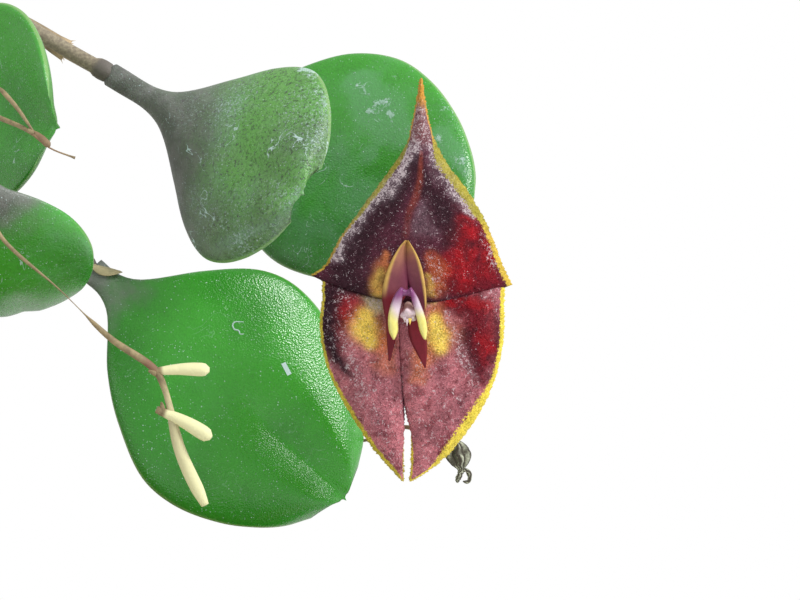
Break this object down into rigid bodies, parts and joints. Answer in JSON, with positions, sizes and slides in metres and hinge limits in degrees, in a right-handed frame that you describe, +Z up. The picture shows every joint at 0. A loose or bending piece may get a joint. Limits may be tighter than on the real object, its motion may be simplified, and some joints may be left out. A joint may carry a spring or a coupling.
{
  "type": "potted lepanthes chelonion",
  "caption": "Miniature orchid in a small terracotta pot: thick round leaves on thin sheathed stems, and a flat maroon and yellow flower on a thread-like stalk.",
  "frame": {"origin": "centre of the pot's flat underside, where it stands", "axes": "+Z up along the pot's axis, -Y towards the side that the open flower faces, +X towards the flower"},
  "size_m": [0.0705, 0.058, 0.1075],
  "materials": {
    "terracotta": "unglazed, matte",
    "moss": "damp, fibrous",
    "rhizome": "matte",
    "ramicaul": "papery sheaths, matte",
    "leaf": "thick and fleshy, satin",
    "raceme": "dry, matte",
    "dried_flower": "papery, shrivelled",
    "sepal": "fleshy, finely papillose",
    "petal": "fleshy, satin",
    "lip": "waxy, translucent",
    "column": "waxy"
  },
  "bodies": {
    "root": {"pot": "terracotta", "moss": "moss", "rhizome": "rhizome", "ramicaul_01": "ramicaul", "ramicaul_02": "ramicaul", "ramicaul_03": "ramicaul", "ramicaul_04": "ramicaul", "ramicaul_05": "ramicaul", "ramicaul_06": "ramicaul", "ramicaul_07": "ramicaul", "ramicaul_08": "ramicaul", "ramicaul_09": "ramicaul", "ramicaul_10": "ramicaul", "ramicaul_11": "ramicaul", "ramicaul_12": "ramicaul", "ramicaul_13": "ramicaul", "ramicaul_14": "ramicaul", "ramicaul_15": "ramicaul", "ramicaul_16": "ramicaul", "leaf_01": "leaf", "leaf_02": "leaf", "leaf_03": "leaf", "leaf_04": "leaf", "leaf_05": "leaf", "leaf_06": "leaf", "leaf_07": "leaf", "leaf_08": "leaf", "leaf_09": "leaf", "leaf_10": "leaf", "leaf_11": "leaf", "leaf_12": "leaf", "leaf_13": "leaf", "leaf_14": "leaf", "leaf_15": "leaf", "leaf_16": "leaf", "raceme_flowering": "raceme", "raceme_spent_front": "raceme", "raceme_spent_upper": "raceme", "raceme_budding": "raceme", "dried_flower": "dried_flower", "dorsal_sepal": "sepal", "lateral_sepal_left": "sepal", "lateral_sepal_right": "sepal", "petal_left": "petal", "petal_right": "petal", "lip": "lip", "column": "column"}
  },
  "joints": []
}
